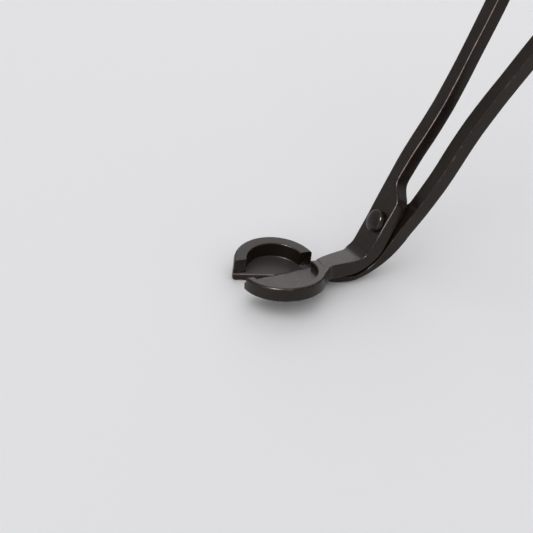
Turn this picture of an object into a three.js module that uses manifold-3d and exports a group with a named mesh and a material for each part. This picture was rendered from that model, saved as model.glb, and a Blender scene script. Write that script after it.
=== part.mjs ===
// Wick trimmer: two one-piece bent steel levers on a rivet.
// Units are millimetres and +Z is up. The round head lies flat on z = 0, as it
// does on the wax, and the handles rise along +X. The origin is the centre of
// the head's underside.
//
// Both levers are drawn as they lie when the head is closed to a full round.
// The upper lever is then turned about the rivet by OPEN_ANGLE.

import * as THREE from 'three';
import { mergeVertices } from 'three/addons/utils/BufferGeometryUtils.js';
import Module from 'manifold-3d';

const wasm = await Module();
wasm.setup();

// ---------------------------------------------------------------- dimensions

const DEG = Math.PI / 180;

const OPEN_ANGLE = 12.2 * DEG; // between the levers at rest
const BEND = 60.6 * DEG; // handle plane above the head plane
const PIVOT = { x: 30.7, z: 12.5 }; // rivet axis, at the joint face of the levers
const OVERCLOSE = 1.8 * DEG; // travel past the full round, until the blade tips have crossed

const HEAD_RADIUS = 11;
const RIM_TOP = 5.9;
const REAR_CUP_RADIUS = 7.7;
const FRONT_CUP_RADIUS = 8.8;
const LOWER_BLADE_TOP = 1.8;
const UPPER_BLADE_BASE = 2.1;
const UPPER_BLADE_TOP = 4.2;
const HEAD_CHAMFER = 0.5;

// Straight cuts across the head, as y at x = 0 and dy/dx.
const REAR_RIM_END = { y: 2.15, slope: - 0.017 };
const FRONT_RIM_END = - 0.3; // y of the front rim's free end
const FRONT_RIM_ROOT = { y: 1.35, slope: 0 };
const LOWER_EDGE = { y: - 0.7, slope: - 0.268 };
const UPPER_EDGE = { y: 1.55, slope: 0.09 };

const FACE_GAP = 0.15; // half of the running gap between the levers
const PLATE_FACE = 3.95; // outer face of each lever, from the joint face
const LEVER_CHAMFER = 0.45;
const UPPER_BEND_RADII = { base: 11.5, top: 4 };
const LOWER_BEND_RADII = { base: 22, top: 11.5 };
const BEND_STEPS = 12;

const JOGGLE = { start: 77, end: 95 }; // where the legs step into one plane
const LOOP = { s: 113, y: 16.4, long: 20.5, wide: 14.4, bar: 4.4, tilt: 8 * DEG, chamfer: 0.9 };
const LOOP_STEPS = 56;
const LEG_END = 107;

const RIVET_RADIUS = 2;
const RIVET_HOLE_RADIUS = 2.3;
const RIVET_HEAD_RADIUS = 3.15;
const RIVET_TAIL_RADIUS = 2.8;
const RIVET_SEAT = 4.2; // underside of the head, from the joint face
const RIVET_HEAD_HEIGHT = 1.6;
const RIVET_TAIL_HEIGHT = 0.7;

const RELIEF_CLEARANCE = 0.2; // between each relief cut and what passes through it

const ROUND_STEPS = 72;
const BIG = 60; // reach of the cutting blocks

// Lever outlines in the closed head. Each row is [place, y of the outer side,
// y of the inner side], as drawn for the upper lever: the lower lever is its
// mirror image. The place is x along the neck, the share of the turn round the
// bend, and the distance from the rivet along the plate.
const UPPER_OUTLINE = {
	neck: [
		[ 8.6, 1.2, - 6.6 ],
		[ 10.6, 2.0, - 4.8 ],
		[ 11.4, 2.4, - 3.95 ],
		[ 12.2, 2.7, - 3.5 ],
		[ 13.2, 3.05, - 3.3 ],
		[ 15.7, 3.65, - 3.3 ],
	],
	bend: [ [ 0, 4.4, - 3.3 ], [ 0.5, 5.5, - 3.2 ], [ 1, 5.3, - 3.4 ] ],
	plate: [
		[ 0, 5.2, - 3.5 ],
		[ 5.2, 5.3, - 3.7 ],
		[ 6.8, 5.3, - 3.6 ],
		[ 7.8, 5.3, - 2.9 ],
		[ 10.2, 5.3, - 0.3 ],
		[ 11.2, 5.3, 0.5 ],
		[ 12.6, 5.3, 0.9 ],
	],
};
const LOWER_OUTLINE = {
	neck: [
		[ 9.4, 2.0, - 3.9 ],
		[ 11.2, 3.0, - 3.7 ],
		[ 13, 3.8, - 3.3 ],
	],
	bend: [ [ 0, 4.9, - 3.3 ], [ 0.25, 5.9, - 3.3 ], [ 0.5, 5.4, - 3.3 ], [ 1, 4.7, - 3.4 ] ],
	plate: [
		[ 2, 4.8, - 3.6 ],
		[ 3.4, 4.9, - 3.5 ],
		[ 4.4, 5, - 2.9 ],
		[ 6.8, 5.1, - 0.3 ],
		[ 7.8, 5.2, 0.5 ],
		[ 9.2, 5.25, 0.9 ],
	],
};

// The legs are mirror images of each other: [distance from the rivet, outer y, inner y].
const LEG_ROWS = [
	[ 16, 5.3, 0.75 ],
	[ 20, 5.1, 0.45 ],
	[ 25, 4.6, - 0.2 ],
	[ 30, 4.05, - 0.7 ],
	[ 36, 3.7, - 1.0 ],
	[ 42, 3.7, - 0.9 ],
	[ 50, 4.0, - 0.5 ],
	[ 58, 4.5, - 0.2 ],
	[ 66, 5.1, 0.3 ],
	[ 72, 5.7, 1.0 ],
	[ 77, 6.0, 1.45 ],
	[ 81, 6.2, 1.7 ],
	[ 86, 6.4, 1.9 ],
	[ 91, 6.5, 2.0 ],
	[ 95, 6.6, 2.1 ],
	[ LEG_END, 5.5, 2.4 ],
];

// ------------------------------------------------------------------- solids

function toSolid( geometry ) {

	geometry.deleteAttribute( 'normal' );
	geometry.deleteAttribute( 'uv' );
	const merged = mergeVertices( geometry, 1e-5 );
	return new wasm.Manifold( new wasm.Mesh( {
		numProp: 3,
		vertProperties: new Float32Array( merged.attributes.position.array ),
		triVerts: new Uint32Array( merged.index.array ),
	} ) );

}

function toGeometry( solid ) {

	const mesh = solid.getMesh();
	const geometry = new THREE.BufferGeometry();
	geometry.setAttribute( 'position', new THREE.BufferAttribute( mesh.vertProperties, 3 ) );
	geometry.setIndex( new THREE.BufferAttribute( mesh.triVerts, 1 ) );
	geometry.computeVertexNormals();
	return geometry;

}

// A turned solid about +Z from [radius, height] points, starting and ending on the axis.
function turned( profile ) {

	const points = profile.map( ( [ r, h ] ) => new THREE.Vector2( r, h ) );
	return new THREE.LatheGeometry( points, ROUND_STEPS ).rotateX( Math.PI / 2 );

}

// An upright prism over a plan outline.
function uprightPrism( outline, low, high ) {

	const shape = new THREE.Shape( outline.map( ( [ x, y ] ) => new THREE.Vector2( x, y ) ) );
	const geometry = new THREE.ExtrudeGeometry( shape, { depth: high - low, bevelEnabled: false } );
	return geometry.translate( 0, 0, low );

}

function prism( outline, low, high ) {

	return toSolid( uprightPrism( outline, low, high ) );

}

// Everything on the +Y side of the line y = offset + slope * x, between two heights.
function blockBehind( { y, slope }, low, high ) {

	const left = y - slope * BIG;
	const right = y + slope * BIG;
	return prism( [ [ - BIG, left ], [ BIG, right ], [ BIG, BIG ], [ - BIG, BIG ] ], low, high );

}

// Everything on the -Y side of that line.
function blockBefore( { y, slope }, low, high ) {

	const left = y - slope * BIG;
	const right = y + slope * BIG;
	return prism( [ [ - BIG, - BIG ], [ BIG, - BIG ], [ BIG, right ], [ - BIG, left ] ], low, high );

}

// Joins a run of equal sections, each a loop of points, into one closed body.
function loft( sections, closed ) {

	const size = sections[ 0 ].length;
	const position = [];
	const index = [];
	for ( const section of sections ) for ( const p of section ) position.push( ...p );
	const runs = closed ? sections.length : sections.length - 1;
	for ( let i = 0; i < runs; i ++ ) {

		const here = i * size;
		const next = ( ( i + 1 ) % sections.length ) * size;
		for ( let j = 0; j < size; j ++ ) {

			const k = ( j + 1 ) % size;
			index.push( here + j, here + k, next + k, here + j, next + k, next + j );

		}

	}

	if ( ! closed ) {

		const last = ( sections.length - 1 ) * size;
		for ( let j = 1; j < size - 1; j ++ ) {

			index.push( 0, j + 1, j );
			index.push( last, last + j, last + j + 1 );

		}

	}

	const geometry = new THREE.BufferGeometry();
	geometry.setAttribute( 'position', new THREE.Float32BufferAttribute( position, 3 ) );
	geometry.setIndex( index );
	return toSolid( geometry );

}

// --------------------------------------------------------------- lever frame

// The place at distance s along the handle and w off the joint face, as [x, z].
function onHandle( s, w ) {

	return [
		PIVOT.x + s * Math.cos( BEND ) - w * Math.sin( BEND ),
		PIVOT.z + s * Math.sin( BEND ) + w * Math.cos( BEND ),
	];

}

const RIVET_AXIS = new THREE.Vector3( - Math.sin( BEND ), 0, Math.cos( BEND ) );

// Turns a solid made about +Z into one about the rivet axis.
function aboutRivet( geometry ) {

	return toSolid( geometry.rotateY( - BEND ).translate( PIVOT.x, 0, PIVOT.z ) );

}

// The arc which joins a level face at height z to a handle face at offset w.
function bendArc( z, w, radius ) {

	const corner = ( z - PIVOT.z - w * Math.cos( BEND ) ) / Math.sin( BEND );
	const startX = onHandle( corner, w )[ 0 ] - radius * Math.tan( BEND / 2 );
	return ( angle ) => [ startX + radius * Math.sin( angle ), z + radius * ( 1 - Math.cos( angle ) ) ];

}

// A section of a lever: a box between a base and a top point, with cut corners.
// Side is +1 for the upper lever and -1 for the lower one, its mirror image.
function leverSection( base, top, outer, inner, side ) {

	const up = [ top[ 0 ] - base[ 0 ], top[ 1 ] - base[ 1 ] ];
	const share = LEVER_CHAMFER / Math.hypot( ...up );
	const high = Math.max( side * outer, side * inner );
	const low = Math.min( side * outer, side * inner );
	const at = ( y, t ) => [ base[ 0 ] + up[ 0 ] * t, y, base[ 1 ] + up[ 1 ] * t ];
	return [
		at( low + LEVER_CHAMFER, 0 ), at( high - LEVER_CHAMFER, 0 ),
		at( high, share ), at( high, 1 - share ),
		at( high - LEVER_CHAMFER, 1 ), at( low + LEVER_CHAMFER, 1 ),
		at( low, 1 - share ), at( low, share ),
	];

}

// The outer and inner side at a share of the turn round the bend.
function bendSides( rows, share ) {

	const next = Math.max( 1, rows.findIndex( ( row ) => row[ 0 ] >= share ) );
	const [ from, ...start ] = rows[ next - 1 ];
	const [ to, ...end ] = rows[ next ];
	const part = ( share - from ) / ( to - from );
	return start.map( ( y, i ) => THREE.MathUtils.lerp( y, end[ i ], part ) );

}

// Neck, bend, pivot plate and leg in one body. The faces are given as the
// level height and the handle offset of the base and the top.
function leverArm( base, top, radii, outline, side ) {

	const baseArc = bendArc( base.z, base.w, radii.base );
	const topArc = bendArc( top.z, top.w, radii.top );
	const middle = ( base.w + top.w ) / 2;
	const sections = [];
	const add = ( low, high, outer, inner ) => {

		sections.push( leverSection( low, high, outer, inner, side ) );

	};

	for ( const [ x, outer, inner ] of outline.neck ) add( [ x, base.z ], [ x, top.z ], outer, inner );
	for ( let i = 0; i <= BEND_STEPS; i ++ ) {

		const share = i / BEND_STEPS;
		const angle = share * BEND;
		add( baseArc( angle ), topArc( angle ), ...bendSides( outline.bend, share ) );

	}

	for ( const [ s, outer, inner ] of [ ...outline.plate, ...LEG_ROWS ] ) {

		const shift = - middle * THREE.MathUtils.smoothstep( s, JOGGLE.start, JOGGLE.end );
		add( onHandle( s, base.w + shift ), onHandle( s, top.w + shift ), outer, inner );

	}

	return loft( sections, false );

}

// The finger loop: an oval bar which lies in the joint face.
function fingerLoop( side ) {

	const half = ( PLATE_FACE - FACE_GAP ) / 2;
	const cut = LOOP.chamfer;
	const outline = [
		[ cut, - half ], [ LOOP.bar - cut, - half ],
		[ LOOP.bar, - half + cut ], [ LOOP.bar, half - cut ],
		[ LOOP.bar - cut, half ], [ cut, half ],
		[ 0, half - cut ], [ 0, - half + cut ],
	];
	const sections = [];
	for ( let i = 0; i < LOOP_STEPS; i ++ ) {

		const turn = 2 * Math.PI * i / LOOP_STEPS;
		sections.push( outline.map( ( [ inset, w ] ) => {

			const along = ( LOOP.long - inset ) * Math.cos( turn );
			const across = ( LOOP.wide - inset ) * Math.sin( turn );
			const s = LOOP.s + along * Math.cos( LOOP.tilt ) - across * Math.sin( LOOP.tilt );
			const y = LOOP.y + along * Math.sin( LOOP.tilt ) + across * Math.cos( LOOP.tilt );
			const [ x, z ] = onHandle( s, w );
			return [ x, side * y, z ];

		} ) );

	}

	return loft( side > 0 ? sections : sections.reverse(), true );

}

function rivetHole() {

	const reach = 2 * PLATE_FACE;
	const radius = RIVET_HOLE_RADIUS;
	return aboutRivet( turned( [ [ 0, - reach ], [ radius, - reach ], [ radius, reach ], [ 0, reach ] ] ) );

}

// --------------------------------------------------------------------- head

// A round puck with cut edges.
function puck( low, high ) {

	const flat = HEAD_RADIUS - HEAD_CHAMFER;
	return toSolid( turned( [
		[ 0, low ], [ flat, low ], [ HEAD_RADIUS, low + HEAD_CHAMFER ],
		[ HEAD_RADIUS, high - HEAD_CHAMFER ], [ flat, high ], [ 0, high ],
	] ) );

}

function cup( radius, floor ) {

	return toSolid( turned( [ [ 0, floor ], [ radius, floor ], [ radius, RIM_TOP + 1 ], [ 0, RIM_TOP + 1 ] ] ) );

}

// Rear half: a deep rim round the lower blade.
function lowerHead() {

	return puck( 0, RIM_TOP )
		.subtract( cup( REAR_CUP_RADIUS, LOWER_BLADE_TOP ) )
		.subtract( blockBefore( REAR_RIM_END, LOWER_BLADE_TOP, RIM_TOP + 1 ) )
		.subtract( blockBefore( LOWER_EDGE, - 1, RIM_TOP + 1 ) );

}

// Front half: a shallow rim round the upper blade.
function upperHead() {

	return puck( UPPER_BLADE_BASE, RIM_TOP )
		.subtract( cup( FRONT_CUP_RADIUS, UPPER_BLADE_TOP ) )
		.subtract( blockBehind( UPPER_EDGE, 0, RIM_TOP + 1 ) )
		.subtract( freeEndCut() )
		.subtract( blockBehind( FRONT_RIM_ROOT, UPPER_BLADE_TOP, RIM_TOP + 1 ) );

}

// Cuts the front rim back at its free end, down to the upper blade.
function freeEndCut() {

	const outline = [ [ - BIG, FRONT_RIM_END ], [ 0, FRONT_RIM_END ], [ 0, BIG ], [ - BIG, BIG ] ];
	return prism( outline, UPPER_BLADE_TOP, RIM_TOP + 1 );

}

// The space which the lower lever's top face sweeps, seen from the upper lever.
// It is turned about the rivet axis, and only the side y > 0 of it is needed.
function sweepRelief() {

	const arc = bendArc( LOWER_BLADE_TOP, - FACE_GAP, LOWER_BEND_RADII.top );
	const reach = 70;
	const curve = [];
	for ( let i = 0; i <= BEND_STEPS; i ++ ) curve.push( arc( BEND * ( 1 - i / BEND_STEPS ) ) );
	curve.push( [ - HEAD_RADIUS - 4, LOWER_BLADE_TOP ] );
	const profile = curve.map( ( [ x, z ] ) => {

		const dx = x - PIVOT.x;
		const dz = z - PIVOT.z;
		const s = dx * Math.cos( BEND ) + dz * Math.sin( BEND );
		const w = - dx * Math.sin( BEND ) + dz * Math.cos( BEND );
		return [ - s - RELIEF_CLEARANCE, w ];

	} );
	const top = profile[ profile.length - 1 ][ 1 ];
	const bottom = profile[ 0 ][ 1 ];
	const ring = [ profile[ 0 ], [ reach, bottom ], [ reach, top ], ...profile.reverse() ];
	const side = prism( [ [ - BIG, 0 ], [ PIVOT.x, 0 ], [ PIVOT.x, BIG ], [ - BIG, BIG ] ], - BIG, BIG );
	return aboutRivet( turned( ring ) ).intersect( side );

}

// Room in the upper lever's neck for the end of the deep rim, up to the end of
// the closing travel.
function rimRelief() {

	const radius = HEAD_RADIUS + RELIEF_CLEARANCE;
	const front = REAR_RIM_END.y - RELIEF_CLEARANCE;
	const start = Math.asin( front / radius );
	const outline = [ [ 0, front ] ];
	for ( let i = 0; i <= BEND_STEPS; i ++ ) {

		const angle = THREE.MathUtils.lerp( start, Math.PI / 2, i / BEND_STEPS );
		outline.push( [ radius * Math.cos( angle ), radius * Math.sin( angle ) ] );

	}

	const atTurn = ( turn ) => {

		const geometry = uprightPrism( outline, LOWER_BLADE_TOP, RIM_TOP + 1 );
		geometry.translate( - PIVOT.x, 0, - PIVOT.z );
		geometry.applyMatrix4( new THREE.Matrix4().makeRotationAxis( RIVET_AXIS, turn ) );
		return toSolid( geometry.translate( PIVOT.x, 0, PIVOT.z ) );

	};

	return atTurn( 0 ).add( atTurn( OVERCLOSE / 2 ) ).add( atTurn( OVERCLOSE ) );

}

// ------------------------------------------------------------------- pieces

function lowerLever() {

	const base = { z: 0, w: - PLATE_FACE };
	const top = { z: LOWER_BLADE_TOP, w: - FACE_GAP };
	return leverArm( base, top, LOWER_BEND_RADII, LOWER_OUTLINE, - 1 )
		.add( lowerHead() )
		.add( fingerLoop( - 1 ) )
		.subtract( rivetHole() );

}

function upperLever() {

	const base = { z: UPPER_BLADE_BASE, w: FACE_GAP };
	const top = { z: RIM_TOP, w: PLATE_FACE };
	const cupSpace = cup( FRONT_CUP_RADIUS, UPPER_BLADE_TOP );
	return leverArm( base, top, UPPER_BEND_RADII, UPPER_OUTLINE, 1 )
		.subtract( cupSpace )
		.add( upperHead() )
		.add( fingerLoop( 1 ) )
		.subtract( sweepRelief() )
		.subtract( rimRelief() )
		.subtract( rivetHole() );

}

function rivet() {

	const crown = RIVET_SEAT + RIVET_HEAD_HEIGHT;
	const foot = - RIVET_SEAT - RIVET_TAIL_HEIGHT;
	return aboutRivet( turned( [
		[ 0, foot ],
		[ RIVET_TAIL_RADIUS * 0.7, foot ],
		[ RIVET_TAIL_RADIUS, foot + RIVET_TAIL_HEIGHT * 0.6 ],
		[ RIVET_TAIL_RADIUS, - RIVET_SEAT ],
		[ RIVET_RADIUS, - RIVET_SEAT ],
		[ RIVET_RADIUS, RIVET_SEAT ],
		[ RIVET_HEAD_RADIUS, RIVET_SEAT ],
		[ RIVET_HEAD_RADIUS, crown - RIVET_HEAD_HEIGHT * 0.6 ],
		[ RIVET_HEAD_RADIUS * 0.75, crown - RIVET_HEAD_HEIGHT * 0.15 ],
		[ 0, crown ],
	] ) );

}

// ----------------------------------------------------------------- assembly

function piece( name, solid, color, roughness ) {

	const material = new THREE.MeshStandardMaterial( { color, roughness, metalness: 0.8 } );
	const mesh = new THREE.Mesh( toGeometry( solid ), material );
	mesh.name = name;
	return mesh;

}

const trimmer = new THREE.Group();
trimmer.add( piece( 'lower_lever', lowerLever(), 0x2b2725, 0.38 ) );
trimmer.add( piece( 'pivot_rivet', rivet(), 0x35302d, 0.34 ) );

// The upper lever turns about the rivet axis.
const turning = new THREE.Group();
turning.position.set( PIVOT.x, 0, PIVOT.z );
turning.quaternion.setFromAxisAngle( RIVET_AXIS, OPEN_ANGLE );
const upper = piece( 'upper_lever', upperLever(), 0x2b2725, 0.38 );
upper.position.set( - PIVOT.x, 0, - PIVOT.z );
turning.add( upper );
trimmer.add( turning );

export default trimmer;
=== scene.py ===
"""Wick trimmer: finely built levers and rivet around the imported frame, with a plain studio."""

import math

import bpy
import bmesh
import numpy as np
from mathutils import Matrix, Vector


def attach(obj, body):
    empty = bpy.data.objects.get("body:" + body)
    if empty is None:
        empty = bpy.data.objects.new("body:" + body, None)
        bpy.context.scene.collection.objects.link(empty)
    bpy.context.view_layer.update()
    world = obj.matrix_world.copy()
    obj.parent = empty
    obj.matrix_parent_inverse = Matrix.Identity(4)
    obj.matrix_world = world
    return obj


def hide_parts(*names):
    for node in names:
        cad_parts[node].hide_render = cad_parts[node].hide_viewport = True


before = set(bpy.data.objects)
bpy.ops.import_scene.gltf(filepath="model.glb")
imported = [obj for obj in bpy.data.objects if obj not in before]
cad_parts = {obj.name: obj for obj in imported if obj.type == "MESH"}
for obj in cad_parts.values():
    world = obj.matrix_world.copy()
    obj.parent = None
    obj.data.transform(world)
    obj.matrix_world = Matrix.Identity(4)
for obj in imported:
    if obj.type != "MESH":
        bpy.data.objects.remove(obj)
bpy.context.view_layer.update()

# ------------------------------------------------------------------ dimensions
# Millimetres, as in the CAD source. Meshes are brought to metres when finished.

MM = 0.001
DEG = math.pi / 180
OPEN_ANGLE = 12.2 * DEG
OVERCLOSE = 1.8 * DEG
BEND = 60.6 * DEG
COS_B, SIN_B = math.cos(BEND), math.sin(BEND)
PIVOT_X, PIVOT_Z = 30.7, 12.5
RIVET_AXIS = Vector((-SIN_B, 0, COS_B))

HEAD_RADIUS = 11
RIM_TOP = 5.9
REAR_CUP_RADIUS = 7.7
FRONT_CUP_RADIUS = 8.8
LOWER_BLADE_TOP = 1.8
UPPER_BLADE_BASE = 2.1
UPPER_BLADE_TOP = 4.2
REAR_RIM_END = (2.15, -0.017)
FRONT_RIM_END = -0.3
FRONT_RIM_ROOT = (1.35, 0)
LOWER_EDGE = (-0.7, -0.268)
UPPER_EDGE = (1.55, 0.09)

FACE_GAP = 0.15
PLATE_FACE = 3.95
UPPER_RADII = (11.5, 4)
LOWER_RADII = (22, 11.5)
JOGGLE = (77, 95)
LOOP_S, LOOP_Y, LOOP_LONG, LOOP_WIDE, LOOP_BAR = 113, 16.4, 20.5, 14.4, 4.4
LOOP_TILT = 8 * DEG
LEG_END = 107

RIVET_RADIUS, RIVET_HOLE = 2, 2.3
RIVET_HEAD, RIVET_TAIL = 2.95, 2.8
RIVET_SEAT = 4.2
RIVET_HEAD_HEIGHT, RIVET_TAIL_HEIGHT = 1.6, 0.7

EDGE_ROUND = 0.42      # rounding of the levers' long edges
RIM_ROUND = 0.6        # rounding of the head's outer edges
LOOP_ROUND = 1.25      # rounding of the finger loops' bar
BREAK = 0.11           # broken edge left on every cut
POCKET_FLARE = 0.22    # how much wider a pocket is at its top edge
POCKET_FILLET = 0.3    # rounding where a pocket's wall meets its floor
GROUND_WIDTH = 0.26    # width of the ground facet along the lower blade
GROUND_SLOPE = 0.62    # fall of that facet for each millimetre across it
CLEARANCE = 0.2        # between each relief cut and what passes through it

SECTION_STEP = 0.7     # spacing of the levers' sections
BEND_STEPS = 40
ROUND_STEPS = 160
SWEEP_STEPS = 144
BIG = 60               # reach of the cutting blocks

# Lever outlines in the closed head: (place, y of the outer side, y of the inner side), as drawn
# for the upper lever: the lower lever is its mirror image. The place is x along the neck, the
# share of the turn round the bend, and the distance from the rivet along the plate and the leg.
UPPER_NECK = [(8.6, 1.2, -6.6), (10.6, 2.0, -4.8), (11.4, 2.4, -3.95), (12.2, 2.7, -3.5),
              (13.2, 3.05, -3.3), (15.7, 3.65, -3.3)]
UPPER_BEND = [(0, 4.4, -3.3), (0.5, 5.5, -3.2), (1, 5.3, -3.4)]
UPPER_PLATE = [(0, 5.2, -3.5), (5.2, 5.3, -3.7), (6.8, 5.3, -3.6), (7.8, 5.3, -2.9),
               (10.2, 5.3, -0.3), (11.2, 5.3, 0.5), (12.6, 5.3, 0.9)]
LOWER_NECK = [(9.4, 2.0, -3.9), (11.2, 3.0, -3.7), (13, 3.8, -3.3)]
LOWER_BEND = [(0, 4.9, -3.3), (0.25, 5.9, -3.3), (0.5, 5.4, -3.3), (1, 4.7, -3.4)]
LOWER_PLATE = [(2, 4.8, -3.6), (3.4, 4.9, -3.5), (4.4, 5, -2.9), (6.8, 5.1, -0.3),
               (7.8, 5.2, 0.5), (9.2, 5.25, 0.9)]
LEG = [(16, 5.3, 0.75), (20, 5.1, 0.45), (25, 4.6, -0.2), (30, 4.05, -0.7), (36, 3.7, -1.0),
       (42, 3.7, -0.9), (50, 4.0, -0.5), (58, 4.5, -0.2), (66, 5.1, 0.3), (72, 5.7, 1.0),
       (77, 6.0, 1.45), (81, 6.2, 1.7), (86, 6.4, 1.9), (91, 6.5, 2.0), (95, 6.6, 2.1),
       (LEG_END, 5.5, 2.4)]

# ---------------------------------------------------------------- mesh helpers


def solid(name, verts, faces):
    """A closed body from its points and faces, with the faces turned to point out."""
    mesh = bpy.data.meshes.new(name)
    mesh.from_pydata([tuple(v) for v in verts], [], faces)
    mesh.validate()
    obj = bpy.data.objects.new(name, mesh)
    bpy.context.scene.collection.objects.link(obj)
    made = bmesh.new()
    made.from_mesh(mesh)
    bmesh.ops.recalc_face_normals(made, faces=made.faces)
    made.to_mesh(mesh)
    made.free()
    return obj


def bake_modifiers(obj):
    """Applies the object's modifiers to its mesh."""
    bpy.context.view_layer.update()
    graph = bpy.context.evaluated_depsgraph_get()
    mesh = bpy.data.meshes.new_from_object(obj.evaluated_get(graph))
    obj.modifiers.clear()
    obj.data = mesh


def combine(obj, other, operation):
    """Joins other to obj or cuts it away, and removes other."""
    step = obj.modifiers.new("combine", "BOOLEAN")
    step.operation = operation
    step.object = other
    step.solver = "MANIFOLD"
    bake_modifiers(obj)
    bpy.data.objects.remove(other)
    return obj


def cut(obj, *others):
    """Cuts each of the others away from obj."""
    for other in others:
        combine(obj, other, "DIFFERENCE")
    return obj


def loft(name, sections, closed):
    """One closed body through a run of equal sections."""
    size = len(sections[0])
    verts = [p for section in sections for p in section]
    faces = []
    runs = len(sections) if closed else len(sections) - 1
    for i in range(runs):
        here, there = i * size, (i + 1) % len(sections) * size
        for j in range(size):
            k = (j + 1) % size
            faces.append((here + j, here + k, there + k, there + j))
    if not closed:
        faces.append(tuple(range(size)))
        faces.append(tuple(range(len(verts) - size, len(verts))))
    return solid(name, verts, faces)


def turned(name, profile, steps):
    """A body turned about +Z from [radius, height] points which start and end on the axis."""
    rings = profile[1:-1]
    verts = []
    for i in range(steps):
        turn = 2 * math.pi * i / steps
        verts += [(r * math.cos(turn), r * math.sin(turn), h) for r, h in rings]
    size = len(rings)
    low, high = len(verts), len(verts) + 1
    verts += [(0, 0, profile[0][1]), (0, 0, profile[-1][1])]
    faces = []
    for i in range(steps):
        here, there = i * size, (i + 1) % steps * size
        for j in range(size - 1):
            faces.append((here + j, there + j, there + j + 1, here + j + 1))
        faces.append((low, there, here))
        faces.append((high, here + size - 1, there + size - 1))
    return solid(name, verts, faces)


def rounded(points, radii, steps=4):
    """The open run of points with each inner corner rounded by its radius."""
    made = [points[0]]
    for before, here, after, radius in zip(points, points[1:], points[2:], radii):
        a = (Vector(before) - Vector(here)).normalized()
        b = (Vector(after) - Vector(here)).normalized()
        if radius == 0:
            made.append(here)
            continue
        half = math.acos(max(-1, min(1, a.dot(b)))) / 2
        centre = Vector(here) + (a + b).normalized() * (radius / math.sin(half))
        first = Vector(here) + a * (radius / math.tan(half)) - centre
        last = Vector(here) + b * (radius / math.tan(half)) - centre
        for i in range(steps + 1):
            turn = first.normalized().slerp(last.normalized(), i / steps)
            made.append(tuple(centre + turn * radius))
    made.append(points[-1])
    return made


def prism(name, outline, low, high):
    """An upright body over a plan outline."""
    size = len(outline)
    verts = [(x, y, low) for x, y in outline] + [(x, y, high) for x, y in outline]
    faces = [(j, (j + 1) % size, size + (j + 1) % size, size + j) for j in range(size)]
    faces += [tuple(range(size)), tuple(range(size, 2 * size))]
    return solid(name, verts, faces)


def block_behind(line, low, high):
    """Everything on the +Y side of a straight cut, given as y at x = 0 and dy/dx."""
    y, slope = line
    outline = [(-BIG, y - slope * BIG), (BIG, y + slope * BIG), (BIG, BIG), (-BIG, BIG)]
    return prism("behind", outline, low, high)


def block_before(line, low, high):
    """Everything on the -Y side of that cut."""
    y, slope = line
    outline = [(-BIG, -BIG), (BIG, -BIG), (BIG, y + slope * BIG), (-BIG, y - slope * BIG)]
    return prism("before", outline, low, high)


def about_rivet(obj):
    """Takes a body made about +Z to the rivet axis."""
    obj.data.transform(Matrix.Translation((PIVOT_X, 0, PIVOT_Z)) @ Matrix.Rotation(-BEND, 4, "Y"))
    return obj


def turned_open(angle):
    """Turns the upper lever's frame about the rivet."""
    place = Matrix.Translation((PIVOT_X, 0, PIVOT_Z))
    return place @ Matrix.Rotation(angle, 4, RIVET_AXIS) @ place.inverted()


# ----------------------------------------------------------------------- arms


def on_handle(s, w):
    """The place at distance s along the handle and w off the joint face, as [x, z]."""
    return np.array([PIVOT_X + s * COS_B - w * SIN_B, PIVOT_Z + s * SIN_B + w * COS_B])


def bend_arc(z, w, radius):
    """The arc from a level face at height z to a handle face at offset w."""
    corner = (z - PIVOT_Z - w * COS_B) / SIN_B
    start = on_handle(corner, w)[0] - radius * math.tan(BEND / 2)

    def at(angle):
        return np.array([start + radius * math.sin(angle), z + radius * (1 - math.cos(angle))])
    return at


def smooth_through(xs, ys, at):
    """A smooth curve through the points, which never swings past them."""
    xs, ys = np.asarray(xs, float), np.asarray(ys, float)
    step = np.diff(xs)
    rise = np.diff(ys) / step
    slope = np.zeros(len(xs))
    slope[0], slope[-1] = rise[0], rise[-1]
    for i in range(1, len(xs) - 1):
        if rise[i - 1] * rise[i] > 0:
            a, b = 2 * step[i] + step[i - 1], step[i] + 2 * step[i - 1]
            slope[i] = (a + b) / (a / rise[i - 1] + b / rise[i])
    i = np.clip(np.searchsorted(xs, at) - 1, 0, len(xs) - 2)
    t = (at - xs[i]) / step[i]
    return ((1 + 2 * t) * (1 - t) ** 2 * ys[i] + t * (1 - t) ** 2 * step[i] * slope[i]
            + t * t * (3 - 2 * t) * ys[i + 1] + t * t * (t - 1) * step[i] * slope[i + 1])


def rounded_section(base, top, low, high):
    """A box section between two points of the lever's side view, with rounded edges."""
    up = top - base
    thick = np.linalg.norm(up)
    outline = []
    corners = [(low, 0, math.pi), (high, 0, 1.5 * math.pi),
               (high, thick, 0), (low, thick, 0.5 * math.pi)]
    for y, height, start in corners:
        cy = y + EDGE_ROUND if y == low else y - EDGE_ROUND
        cz = height + EDGE_ROUND if height == 0 else height - EDGE_ROUND
        for i in range(5):
            turn = start + i * math.pi / 8
            outline.append((cy + EDGE_ROUND * math.cos(turn), cz + EDGE_ROUND * math.sin(turn)))
    return [(base[0] + up[0] * h / thick, y, base[1] + up[1] * h / thick) for y, h in outline]


def joggled(s):
    """The share of the step towards one plane that a leg has made at distance s."""
    t = min(1, max(0, (s - JOGGLE[0]) / (JOGGLE[1] - JOGGLE[0])))
    return t * t * (3 - 2 * t)


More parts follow.
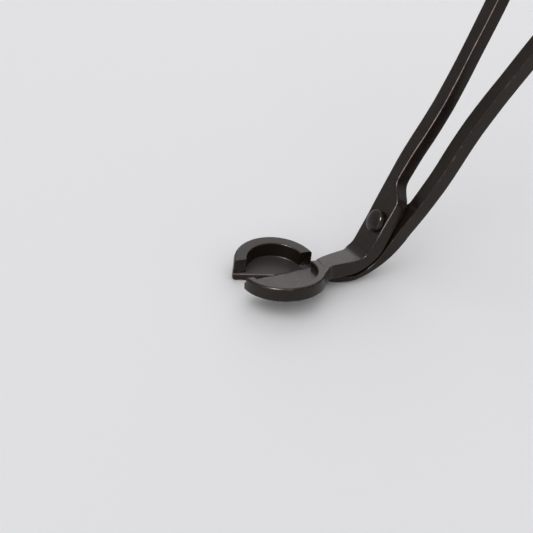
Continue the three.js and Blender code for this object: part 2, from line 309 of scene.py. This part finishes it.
def lever_arm(name, base, top, radii, neck, bend, plate, side):
    """Neck, bend, pivot plate and leg. base and top are (level height, handle offset)."""
    base_arc, top_arc = bend_arc(*base, radii[0]), bend_arc(*top, radii[1])
    middle = (base[1] + top[1]) / 2
    path, keys = [], []
    for x, outer, inner in neck:
        keys.append((len(path), outer, inner))
        path.append((np.array([x, base[0]]), np.array([x, top[0]])))
    shares = {round(share * BEND_STEPS): (outer, inner) for share, outer, inner in bend}
    for i in range(BEND_STEPS + 1):
        if i in shares:
            keys.append((len(path), *shares[i]))
        angle = i / BEND_STEPS * BEND
        path.append((base_arc(angle), top_arc(angle)))
    rows = {s: (outer, inner) for s, outer, inner in plate + LEG}
    places = sorted(set(rows) | set(range(JOGGLE[0], JOGGLE[1] + 1)))
    for s in places:
        shift = -middle * joggled(s)
        if s in rows:
            keys.append((len(path), *rows[s]))
        path.append((on_handle(s, base[1] + shift), on_handle(s, top[1] + shift)))
    centres = np.array([(b + t) / 2 for b, t in path])
    run = np.concatenate([[0], np.cumsum(np.linalg.norm(np.diff(centres, axis=0), axis=1))])
    at = np.arange(0, run[-1], SECTION_STEP)
    at = np.append(at, run[-1])
    flat = np.array([np.concatenate([b, t]) for b, t in path])
    points = np.stack([np.interp(at, run, flat[:, i]) for i in range(4)], axis=1)
    where = run[[k[0] for k in keys]]
    outer = side * smooth_through(where, [k[1] for k in keys], at)
    inner = side * smooth_through(where, [k[2] for k in keys], at)
    sections = [rounded_section(p[:2], p[2:], min(a, b), max(a, b))
                for p, a, b in zip(points, outer, inner)]
    return loft(name, sections, False)


def finger_loop(side):
    """The oval bar in the joint face, with softly rounded edges."""
    top = (PLATE_FACE - FACE_GAP) / 2 - LOOP_ROUND
    far = LOOP_BAR - LOOP_ROUND
    outline = []
    corners = [(LOOP_ROUND, -top, math.pi), (far, -top, 1.5 * math.pi),
               (far, top, 0), (LOOP_ROUND, top, 0.5 * math.pi)]
    for u, w, start in corners:
        for i in range(6):
            turn = start + i * math.pi / 10
            outline.append((u + LOOP_ROUND * math.cos(turn), w + LOOP_ROUND * math.sin(turn)))
    sections = []
    for i in range(SWEEP_STEPS):
        turn = 2 * math.pi * i / SWEEP_STEPS
        section = []
        for inset, w in outline:
            along, across = (LOOP_LONG - inset) * math.cos(turn), (LOOP_WIDE - inset) * math.sin(turn)
            s = LOOP_S + along * math.cos(LOOP_TILT) - across * math.sin(LOOP_TILT)
            y = LOOP_Y + along * math.sin(LOOP_TILT) + across * math.cos(LOOP_TILT)
            x, z = on_handle(s, w)
            section.append((x, side * y, z))
        sections.append(section)
    return loft("loop", sections, True)


def rivet_hole():
    """The hole through a lever, as a body to cut away."""
    reach = 2 * PLATE_FACE
    profile = [(0, -reach), (RIVET_HOLE, -reach), (RIVET_HOLE, reach), (0, reach)]
    return about_rivet(turned("hole", profile, 72))


# ----------------------------------------------------------------------- head


def puck(low, high):
    """A round disc with rounded edges."""
    points = [(0, low), (HEAD_RADIUS, low), (HEAD_RADIUS, high), (0, high)]
    return turned("puck", rounded(points, [RIM_ROUND, RIM_ROUND]), ROUND_STEPS)


def cup(radius, floor):
    """The pocket, with a small fillet at its floor and a broken top edge."""
    mouth = radius + POCKET_FLARE
    points = [(0, floor), (radius, floor), (radius, RIM_TOP - POCKET_FLARE), (mouth, RIM_TOP),
              (mouth, RIM_TOP + 1), (0, RIM_TOP + 1)]
    return turned("cup", rounded(points, [POCKET_FILLET, 0, 0, 0]), ROUND_STEPS)


def lower_edge_axes():
    """Directions along and across the lower blade's cutting edge."""
    along = Vector((1, LOWER_EDGE[1], 0)).normalized()
    return along, Vector((-along.y, along.x, 0))


def ground_edge():
    """Takes the top corner off the lower blade's cutting edge."""
    along, across = lower_edge_axes()
    start = Vector((0, LOWER_EDGE[0], LOWER_BLADE_TOP))
    reach, rise = 2, Vector((0, 0, 2))
    fall = Vector((0, 0, (reach + GROUND_WIDTH) * GROUND_SLOPE))
    section = [across * GROUND_WIDTH, -across * reach - fall,
               -across * reach + rise, across * GROUND_WIDTH + rise]
    verts = [start + along * end + p for end in (-15, 15) for p in section]
    faces = [(0, 1, 2, 3), (4, 5, 6, 7), (0, 1, 5, 4), (1, 2, 6, 5), (2, 3, 7, 6), (3, 0, 4, 7)]
    return solid("facet", verts, faces)


def on_pocket_floor(centre, normal):
    """Whether a face lies on the lower blade's top."""
    inside = math.hypot(centre.x, centre.y) < REAR_CUP_RADIUS + 4
    return inside and normal.z > 0.9 and abs(centre.z - LOWER_BLADE_TOP) < 0.25


def on_facet(centre, normal):
    """Whether a face lies on the ground facet."""
    across = lower_edge_axes()[1]
    facing = (Vector((0, 0, 1)) - across * GROUND_SLOPE).normalized()
    off = (centre - Vector((0, LOWER_EDGE[0], 0))).dot(across)
    return normal.dot(facing) > 0.995 and abs(off) < 0.6


def lower_head():
    """Rear half: a deep rim round the lower blade."""
    head = puck(0, RIM_TOP)
    return cut(head, cup(REAR_CUP_RADIUS, LOWER_BLADE_TOP),
               block_before(REAR_RIM_END, LOWER_BLADE_TOP, RIM_TOP + 1),
               block_before(LOWER_EDGE, -1, RIM_TOP + 1))


def upper_head():
    """Front half: a shallow rim round the upper blade."""
    head = puck(UPPER_BLADE_BASE, RIM_TOP)
    free_end = [(-BIG, FRONT_RIM_END), (0, FRONT_RIM_END), (0, BIG), (-BIG, BIG)]
    return cut(head, cup(FRONT_CUP_RADIUS, UPPER_BLADE_TOP),
               block_behind(UPPER_EDGE, 0, RIM_TOP + 1),
               prism("free_end", free_end, UPPER_BLADE_TOP, RIM_TOP + 1),
               block_behind(FRONT_RIM_ROOT, UPPER_BLADE_TOP, RIM_TOP + 1))


def sweep_relief():
    """The space which the lower lever's top face sweeps, seen from the upper lever."""
    arc = bend_arc(LOWER_BLADE_TOP, -FACE_GAP, LOWER_RADII[1])
    reach = 70
    curve = [arc(BEND * (1 - i / BEND_STEPS)) for i in range(BEND_STEPS + 1)]
    curve.append(np.array([-HEAD_RADIUS - 4, LOWER_BLADE_TOP]))
    profile = []
    for x, z in curve:
        dx, dz = x - PIVOT_X, z - PIVOT_Z
        profile.append((-(dx * COS_B + dz * SIN_B) - CLEARANCE, -dx * SIN_B + dz * COS_B))
    low, high = profile[0][1], profile[-1][1]
    ring = [(profile[0][0], low), (reach, low), (reach, high)] + profile[::-1][:-1]
    sections = []
    for i in range(SWEEP_STEPS):
        turn = 2 * math.pi * i / SWEEP_STEPS
        sections.append([(r * math.cos(turn), r * math.sin(turn), h) for r, h in ring])
    swept = about_rivet(loft("swept", sections, True))
    side = prism("side", [(-BIG, 0), (PIVOT_X, 0), (PIVOT_X, BIG), (-BIG, BIG)], -BIG, BIG)
    return combine(swept, side, "INTERSECT")


def rim_relief():
    """Room in the upper lever's neck for the end of the deep rim, to the end of the travel."""
    radius = HEAD_RADIUS + CLEARANCE
    front = REAR_RIM_END[0] - CLEARANCE
    start = math.asin(front / radius)
    outline = [(0, front)]
    for i in range(BEND_STEPS + 1):
        angle = start + (math.pi / 2 - start) * i / BEND_STEPS
        outline.append((radius * math.cos(angle), radius * math.sin(angle)))
    made = []
    for turn in (0, OVERCLOSE / 2, OVERCLOSE):
        room = prism("rim_room", outline, LOWER_BLADE_TOP, RIM_TOP + 1)
        room.data.transform(turned_open(turn))
        made.append(room)
    return made


# --------------------------------------------------------------------- finish


def inner_top_edge(x, y, z, normal):
    """How polished a point of the closed upper lever is: its plate's and leg's inner edge."""
    if normal.dot((RIVET_AXIS - Vector((0, 1, 0))).normalized()) < 0.95:
        return 0
    s = (x - PIVOT_X) * COS_B + (z - PIVOT_Z) * SIN_B
    w = -(x - PIVOT_X) * SIN_B + (z - PIVOT_Z) * COS_B
    rows = UPPER_PLATE + LEG
    top = PLATE_FACE - (PLATE_FACE + FACE_GAP) / 2 * joggled(s)
    places, inner_sides = [row[0] for row in rows], [row[2] for row in rows]
    inner = float(smooth_through(places, inner_sides, np.clip(s, 0, LEG_END)))
    if abs(w - top) > 0.7 or abs(y - inner) > 0.9:
        return 0
    # The polish starts on the bend, skips the crotch and fades out before the finger loop.
    start = min(1, max(0, (s + 5) / 4))
    crotch = min(1, max(0, (abs(s - 9.5) - 2.2) / 1.2))
    end = min(1, max(0, (98 - s) / 12))
    return start * crotch * end


def blends_in(point):
    """Whether a point lies where a neck runs into the head, which is left as cut."""
    return 9.2 < point.x < 12.6 and (point.z < 2.6 or abs(point.y) < 5.5) and not (
        point.z > 2 and point.y > 1.75 and math.hypot(point.x, point.y) < HEAD_RADIUS + 0.01)


def finish_mesh(obj, crease=34, place=None, polished=None, facet=None, pocket=None):
    """Breaks the cut edges, marks worn, ground and matte metal, and goes to metres."""
    made = bmesh.new()
    made.from_mesh(obj.data)
    bmesh.ops.dissolve_degenerate(made, edges=made.edges, dist=0.0005)
    weight = made.edges.layers.float.new("bevel_weight_edge")
    for edge in made.edges:
        broken = edge.is_convex and edge.calc_face_angle(0) > crease * DEG
        if broken and not any(blends_in(vert.co) for vert in edge.verts):
            edge[weight] = 1
    made.to_mesh(obj.data)
    made.free()
    bevel = obj.modifiers.new("break", "BEVEL")
    bevel.width = BREAK
    bevel.segments = 2
    bevel.limit_method = "WEIGHT"
    bevel.use_clamp_overlap = False
    bake_modifiers(obj)
    made = bmesh.new()
    made.from_mesh(obj.data)
    for face in made.faces:
        face.smooth = True
    worn = made.verts.layers.float.new("worn_edge")
    bright = made.verts.layers.float.new("polished_edge")
    ground = made.faces.layers.float.new("ground")
    matte = made.faces.layers.float.new("matte")
    for face in made.faces:
        centre = face.calc_center_median()
        if facet and facet(centre, face.normal):
            face[ground] = 1
        if pocket and pocket(centre, face.normal):
            face[matte] = 1
    for vert in made.verts:
        area = sum(face.calc_area() for face in vert.link_faces)
        if area <= 0:
            continue
        normal = sum((face.normal * face.calc_area() for face in vert.link_faces), Vector())
        if normal.length < 1e-9:
            continue
        normal.normalize()
        lean = sum(normal.angle(face.normal, 0) * face.calc_area() for face in vert.link_faces)
        outward = sum(edge.calc_face_angle_signed(0) for edge in vert.link_edges)
        vert[worn] = min(1, max(0, (lean / area / DEG - 5) / 7)) if outward > 0 else 0
        if polished and vert[worn] > 0:
            vert[bright] = polished(*vert.co, normal)
    if place:
        made.transform(place)
    made.transform(Matrix.Scale(MM, 4))
    made.to_mesh(obj.data)
    made.free()
    weighted = obj.modifiers.new("even", "WEIGHTED_NORMAL")
    weighted.weight = 60
    weighted.keep_sharp = True
    bake_modifiers(obj)
    return obj


def lower_lever():
    """The fixed lever: rear half of the head, lower blade, lower arm and its loop."""
    arm = lever_arm("lower_body", (0, -PLATE_FACE), (LOWER_BLADE_TOP, -FACE_GAP), LOWER_RADII,
                    LOWER_NECK, LOWER_BEND, LOWER_PLATE, -1)
    combine(arm, lower_head(), "UNION")
    combine(arm, finger_loop(-1), "UNION")
    return finish_mesh(cut(arm, rivet_hole(), ground_edge()), facet=on_facet,
                       pocket=on_pocket_floor)


def upper_lever():
    """The moving lever, made closed and then turned open about the rivet."""
    arm = lever_arm("upper_body", (UPPER_BLADE_BASE, FACE_GAP), (RIM_TOP, PLATE_FACE), UPPER_RADII,
                    UPPER_NECK, UPPER_BEND, UPPER_PLATE, 1)
    cut(arm, cup(FRONT_CUP_RADIUS, UPPER_BLADE_TOP))
    combine(arm, upper_head(), "UNION")
    combine(arm, finger_loop(1), "UNION")
    cut(arm, sweep_relief(), *rim_relief(), rivet_hole())
    return finish_mesh(arm, place=turned_open(OPEN_ANGLE), polished=inner_top_edge)


def rivet():
    """The rivet: a formed tail, a shaft, and a full dome on a short straight side."""
    foot = -RIVET_SEAT - RIVET_TAIL_HEIGHT
    crown = RIVET_SEAT + RIVET_HEAD_HEIGHT
    brim = RIVET_SEAT + RIVET_HEAD_HEIGHT / 2
    points = [(0, foot), (RIVET_TAIL, foot), (RIVET_TAIL, -RIVET_SEAT), (RIVET_RADIUS, -RIVET_SEAT),
              (RIVET_RADIUS, RIVET_SEAT), (RIVET_HEAD, RIVET_SEAT), (RIVET_HEAD, brim)]
    profile = rounded(points, [0.4, 0.08, 0, 0, 0.1], 8)
    dome_steps, fullness = 20, 0.62
    for i in range(1, dome_steps):
        turn = i / dome_steps * math.pi / 2
        radius = RIVET_HEAD * math.cos(turn) ** fullness
        profile.append((radius, brim + (crown - brim) * math.sin(turn)))
    profile.append((0, crown))
    return finish_mesh(about_rivet(turned("rivet_body", profile, 128)), 60)


# ------------------------------------------------------------------ materials

DARK, PALE = (0.0095, 0.0055, 0.0034), (0.0150, 0.0093, 0.0062)
RIVET_DARK, RIVET_PALE = (0.010, 0.007, 0.005), (0.018, 0.012, 0.010)
FLECK = (0.06, 0.045, 0.035)         # lighter specks scattered over the coating
DULL = (0.042, 0.036, 0.037)         # the pocket's floor, lighter than the coating
BARE_STEEL = (0.66, 0.52, 0.51)
MARKS = ("worn_edge", "polished_edge", "ground", "matte")


def node(tree, kind, **values):
    """A new shader node with its settings."""
    made = tree.nodes.new(kind)
    for key, value in values.items():
        setattr(made, key, value)
    return made


def noise(tree, place, scale, detail, rough=0.55):
    """Noise with so many cells to the metre."""
    made = node(tree, "ShaderNodeTexNoise")
    made.inputs["Scale"].default_value = scale
    made.inputs["Detail"].default_value = detail
    made.inputs["Roughness"].default_value = rough
    tree.links.new(place, made.inputs["Vector"])
    return made.outputs["Fac"]


def spread(tree, value, from_low, from_high, to_low, to_high):
    """A value mapped from one range to another, and held inside it."""
    made = node(tree, "ShaderNodeMapRange", clamp=True)
    tree.links.new(value, made.inputs["Value"])
    for key, number in (("From Min", from_low), ("From Max", from_high),
                        ("To Min", to_low), ("To Max", to_high)):
        made.inputs[key].default_value = number
    return made.outputs["Result"]


def math_node(tree, operation, a, b):
    """A sum or product of two values, held between 0 and 1."""
    made = node(tree, "ShaderNodeMath", operation=operation, use_clamp=True)
    for socket, value in zip(made.inputs, (a, b)):
        if isinstance(value, (int, float)):
            socket.default_value = value
        else:
            tree.links.new(value, socket)
    return made.outputs[0]


def mix_colour(tree, share, a, b):
    """Colour a turning into colour b as the share goes from 0 to 1."""
    made = node(tree, "ShaderNodeMix", data_type="RGBA")
    tree.links.new(share, made.inputs[0])
    for socket, value in ((made.inputs[6], a), (made.inputs[7], b)):
        if isinstance(value, tuple):
            socket.default_value = (*value, 1)
        else:
            tree.links.new(value, socket)
    return made.outputs[2]


def mesh_mark(tree, name):
    """A mark which finish_mesh left on the mesh, from 0 to 1."""
    return node(tree, "ShaderNodeAttribute", attribute_name=name).outputs["Fac"]


def coated_steel(name, dark, pale, gloss, wear):
    """Black coating on steel: fine grain, uneven gloss, and bare metal along worn edges.

    gloss is the coating's middle roughness, and wear is how bare the rubbed edges are.
    """
    material = bpy.data.materials.new(name)
    material.use_nodes = True
    tree = material.node_tree
    shader = tree.nodes["Principled BSDF"]
    place = node(tree, "ShaderNodeTexCoord").outputs["Object"]
    clouds = noise(tree, place, 130, 3)
    grain = noise(tree, place, 1500, 2)
    fine = noise(tree, place, 5200, 2, 0.7)
    edge, bright, ground, matte = (mesh_mark(tree, name) for name in MARKS)
    patches = spread(tree, noise(tree, place, 420, 4, 0.65), 0.5, 0.72, 0, 1)
    rubbed = math_node(tree, "MULTIPLY", math_node(tree, "MULTIPLY", edge, patches), wear)
    streaks = spread(tree, noise(tree, place, 700, 3), 0.3, 0.6, 0.3, 0.6)
    bare = math_node(tree, "MAXIMUM", math_node(tree, "MULTIPLY", bright, streaks), rubbed)
    ground_steel = math_node(tree, "MULTIPLY", ground, spread(tree, streaks, 0.3, 0.6, 0.31, 0.63))
    bare = math_node(tree, "MAXIMUM", bare, ground_steel)
    coat = mix_colour(tree, spread(tree, clouds, 0.3, 0.7, 0, 1), dark, pale)
    flecks = spread(tree, fine, 0.66, 0.78, 0, 0.25)
    coat = mix_colour(tree, flecks, coat, FLECK)
    coat = mix_colour(tree, matte, coat, DULL)
    colour = mix_colour(tree, bare, coat, BARE_STEEL)
    tree.links.new(colour, shader.inputs["Base Color"])
    tree.links.new(bare, shader.inputs["Metallic"])
    uneven = spread(tree, clouds, 0.3, 0.7, gloss - 0.05, gloss + 0.06)
    speckled = math_node(tree, "ADD", uneven, spread(tree, grain, 0.35, 0.7, 0, 0.07))
    rough = math_node(tree, "ADD", speckled, spread(tree, matte, 0, 1, 0, 0.16))
    tree.links.new(rough, shader.inputs["Roughness"])
    shader.inputs["Specular Tint"].default_value = (1, 0.94, 0.90, 1)
    shader.inputs["IOR"].default_value = 1.38
    bump = node(tree, "ShaderNodeBump")
    bump.inputs["Strength"].default_value = 0.16
    bump.inputs["Distance"].default_value = 0.00003
    tree.links.new(grain, bump.inputs["Height"])
    tree.links.new(bump.outputs["Normal"], shader.inputs["Normal"])
    return material


def dress(obj, material, body, cad_node):
    """Gives a piece its material and its body, and hides the CAD node which it stands for."""
    obj.data.materials.clear()
    obj.data.materials.append(material)
    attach(obj, body)
    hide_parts(cad_node)


lever_coat = coated_steel("lever_coat", DARK, PALE, 0.24, 0.12)
rivet_coat = coated_steel("rivet_coat", RIVET_DARK, RIVET_PALE, 0.19, 0.15)

dress(lower_lever(), lever_coat, "lower", "lower_lever")
dress(upper_lever(), lever_coat, "upper", "upper_lever")
dress(rivet(), rivet_coat, "lower", "pivot_rivet")

# ---------------------------------------------------------------------- studio


def plain_floor():
    """A pale matt floor, 0.2 mm under the head so that the two faces don't fight."""
    reach = 6
    corners = [(-reach, -reach, 0), (reach, -reach, 0), (reach, reach, 0), (-reach, reach, 0)]
    floor = solid("floor", corners, [(0, 1, 2, 3)])
    material = bpy.data.materials.new("floor_paint")
    material.use_nodes = True
    shader = material.node_tree.nodes["Principled BSDF"]
    shader.inputs["Base Color"].default_value = (0.90, 0.90, 0.91, 1)
    shader.inputs["Roughness"].default_value = 0.9
    shader.inputs["Specular IOR Level"].default_value = 0.2
    floor.data.materials.append(material)
    floor.location.z = -0.0002


def studio_world():
    """A soft room: pale overhead, dimmer towards the horizon."""
    world = bpy.data.worlds.new("studio")
    world.use_nodes = True
    bpy.context.scene.world = world
    tree = world.node_tree
    place = node(tree, "ShaderNodeTexCoord").outputs["Generated"]
    split = node(tree, "ShaderNodeSeparateXYZ")
    tree.links.new(place, split.inputs[0])
    ramp = node(tree, "ShaderNodeValToRGB")
    tree.links.new(spread(tree, split.outputs["Z"], -1, 1, 0, 1), ramp.inputs[0])
    stops = [(0, 0.30), (0.5, 0.30), (0.56, 0.34), (0.66, 0.52), (0.8, 0.55), (1, 0.98)]
    elements = ramp.color_ramp.elements
    elements.remove(elements[0])
    for i, (where, level) in enumerate(stops):
        stop = elements[0] if i == 0 else elements.new(where)
        stop.position = where
        stop.color = (level, level, level * 1.01, 1)
    tree.links.new(ramp.outputs[0], tree.nodes["Background"].inputs["Color"])
    tree.nodes["Background"].inputs["Strength"].default_value = 1.0


def soft_light(name, direction, distance, size, power):
    """A square soft light which faces the head. Metres and watts."""
    lamp = bpy.data.lights.new(name, "AREA")
    lamp.size = size
    lamp.energy = power
    obj = bpy.data.objects.new(name, lamp)
    bpy.context.scene.collection.objects.link(obj)
    aim = Vector(direction).normalized()
    obj.location = Vector((0.02, 0, 0.02)) + aim * distance
    obj.rotation_mode = "QUATERNION"
    obj.rotation_quaternion = aim.to_track_quat("Z", "Y")
    obj.visible_camera = False
    return obj


def camera():
    """Looks at the origin, a little aside of it, from the given direction and distance."""
    azimuth, elevation, roll = 25.68 * DEG, 35.94 * DEG, 8.03 * DEG
    distance, aside, lift = 0.496, 0.0019, -0.0033
    level = math.cos(elevation)
    forward = Vector((math.sin(azimuth) * level, math.cos(azimuth) * level, -math.sin(elevation)))
    flat = forward.cross(Vector((0, 0, 1))).normalized()
    upright = flat.cross(forward)
    right = flat * math.cos(roll) + upright * math.sin(roll)
    up = upright * math.cos(roll) - flat * math.sin(roll)
    lens = bpy.data.cameras.new("camera")
    lens.sensor_width = 36
    lens.lens = 129
    lens.clip_start, lens.clip_end = 0.01, 30
    obj = bpy.data.objects.new("camera", lens)
    bpy.context.scene.collection.objects.link(obj)
    turn = Matrix((right, up, -forward)).transposed()
    stand = -right * aside - up * lift - forward * distance
    obj.matrix_world = Matrix.Translation(stand) @ turn.to_4x4()
    bpy.context.scene.camera = obj


plain_floor()
studio_world()
soft_light("window", (-0.80, -0.59, 0.26), 1.3, 0.8, 3.0)
spark = soft_light("spark", (-0.46, -0.20, 0.865), 1.2, 0.24, 20)
spark.visible_diffuse = False
soft_light("back", (0.56, 0.83, 0.50), 1.4, 1.3, 5.4)
camera()
bpy.context.scene.view_settings.view_transform = "Standard"
